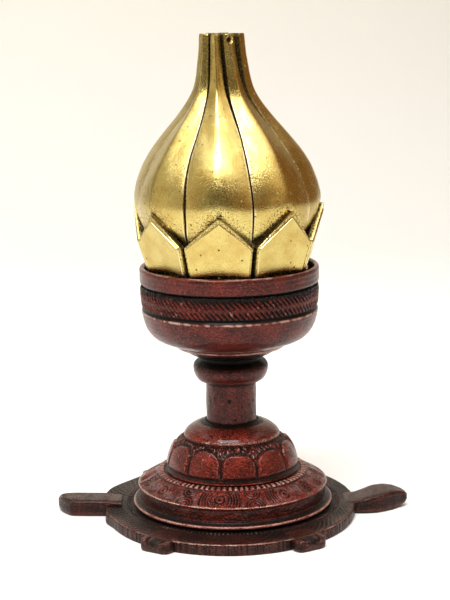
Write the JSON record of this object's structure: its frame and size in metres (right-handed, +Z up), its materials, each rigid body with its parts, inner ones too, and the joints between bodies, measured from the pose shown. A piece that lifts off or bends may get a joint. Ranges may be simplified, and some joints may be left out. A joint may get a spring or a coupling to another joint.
{
  "type": "opening lotus bud stand",
  "caption": "Lotus bud of hinged brass petals in a lacquered drum cup on a stem and tortoise foot; sliding the cup down opens the petals round a seed pod.",
  "frame": {"origin": "on the stem's axis, at the underside of the foot plate", "axes": "+Z up along the stem, +X to the tortoise's head, -Y to the viewer of the reference view"},
  "size_m": [0.0978, 0.0742, 0.1318],
  "materials": {
    "brass_petal": "polished cast brass with darker flats and small pits",
    "brass_pod": "satin cast brass",
    "dark_brass": "aged brass",
    "lacquer_cup": "dark red lacquer over metal, worn on the edges",
    "lacquer_knop": "dark red lacquer over metal",
    "lacquer_stem": "dark red lacquer over metal",
    "lacquer_dome": "dark red lacquer over metal, black in the engraving",
    "lacquer_disc": "dark red lacquer over metal, black in the engraving",
    "lacquer_plate": "dark red lacquer over metal, black in the engraving",
    "steel_hardware": "plain turned steel"
  },
  "bodies": {
    "stand": {"tortoise_plate": "lacquer_plate", "stepped_disc": "lacquer_disc", "shell_dome": "lacquer_dome", "stem_tube": "lacquer_stem", "spindle": "steel_hardware", "base_washer": "steel_hardware", "base_nut": "steel_hardware", "petal_carrier": "dark_brass", "seed_pod": "brass_pod", "hinge_pin_1": "steel_hardware", "hinge_pin_2": "steel_hardware", "hinge_pin_3": "steel_hardware", "hinge_pin_4": "steel_hardware", "hinge_pin_5": "steel_hardware", "hinge_pin_6": "steel_hardware", "hinge_pin_7": "steel_hardware", "hinge_pin_8": "steel_hardware"},
    "cup": {"cup_bowl": "lacquer_cup", "knop_sleeve": "lacquer_knop", "friction_ring": "steel_hardware", "cup_ring_nut": "dark_brass"},
    "petal_1": {"petal_1": "brass_petal"},
    "petal_2": {"petal_2": "brass_petal"},
    "petal_3": {"petal_3": "brass_petal"},
    "petal_4": {"petal_4": "brass_petal"},
    "petal_5": {"petal_5": "brass_petal"},
    "petal_6": {"petal_6": "brass_petal"},
    "petal_7": {"petal_7": "brass_petal"},
    "petal_8": {"petal_8": "brass_petal"}
  },
  "joints": [
    {"name": "cup_slide", "type": "slide", "parent": "stand", "child": "cup", "axis": [0, 0, -1], "range_m": [0, 0.0098]},
    {"name": "petal_1_hinge", "type": "hinge", "parent": "stand", "child": "petal_1", "pos_m": [-0.00313, -0.01975, 0.066], "axis": [0.9877, -0.1564, 0], "range_deg": [0, 78.1]},
    {"name": "petal_2_hinge", "type": "hinge", "parent": "stand", "child": "petal_2", "pos_m": [0.01176, -0.01618, 0.066], "axis": [0.809, 0.5878, 0], "range_deg": [0, 78.1]},
    {"name": "petal_3_hinge", "type": "hinge", "parent": "stand", "child": "petal_3", "pos_m": [0.01975, -0.00313, 0.066], "axis": [0.1564, 0.9877, 0], "range_deg": [0, 78.1]},
    {"name": "petal_4_hinge", "type": "hinge", "parent": "stand", "child": "petal_4", "pos_m": [0.01618, 0.01176, 0.066], "axis": [-0.5878, 0.809, 0], "range_deg": [0, 78.1]},
    {"name": "petal_5_hinge", "type": "hinge", "parent": "stand", "child": "petal_5", "pos_m": [0.00313, 0.01975, 0.066], "axis": [-0.9877, 0.1564, 0], "range_deg": [0, 78.1]},
    {"name": "petal_6_hinge", "type": "hinge", "parent": "stand", "child": "petal_6", "pos_m": [-0.01176, 0.01618, 0.066], "axis": [-0.809, -0.5878, 0], "range_deg": [0, 78.1]},
    {"name": "petal_7_hinge", "type": "hinge", "parent": "stand", "child": "petal_7", "pos_m": [-0.01975, 0.00313, 0.066], "axis": [-0.1564, -0.9877, 0], "range_deg": [0, 78.1]},
    {"name": "petal_8_hinge", "type": "hinge", "parent": "stand", "child": "petal_8", "pos_m": [-0.01618, -0.01176, 0.066], "axis": [0.5878, -0.809, 0], "range_deg": [0, 78.1]}
  ],
  "couplings": [
    {"joint": "petal_1_hinge", "follows": "cup_slide", "rad_per_m": 138.91},
    {"joint": "petal_2_hinge", "follows": "cup_slide", "rad_per_m": 138.91},
    {"joint": "petal_3_hinge", "follows": "cup_slide", "rad_per_m": 138.91},
    {"joint": "petal_4_hinge", "follows": "cup_slide", "rad_per_m": 138.91},
    {"joint": "petal_5_hinge", "follows": "cup_slide", "rad_per_m": 138.91},
    {"joint": "petal_6_hinge", "follows": "cup_slide", "rad_per_m": 138.91},
    {"joint": "petal_7_hinge", "follows": "cup_slide", "rad_per_m": 138.91},
    {"joint": "petal_8_hinge", "follows": "cup_slide", "rad_per_m": 138.91}
  ]
}
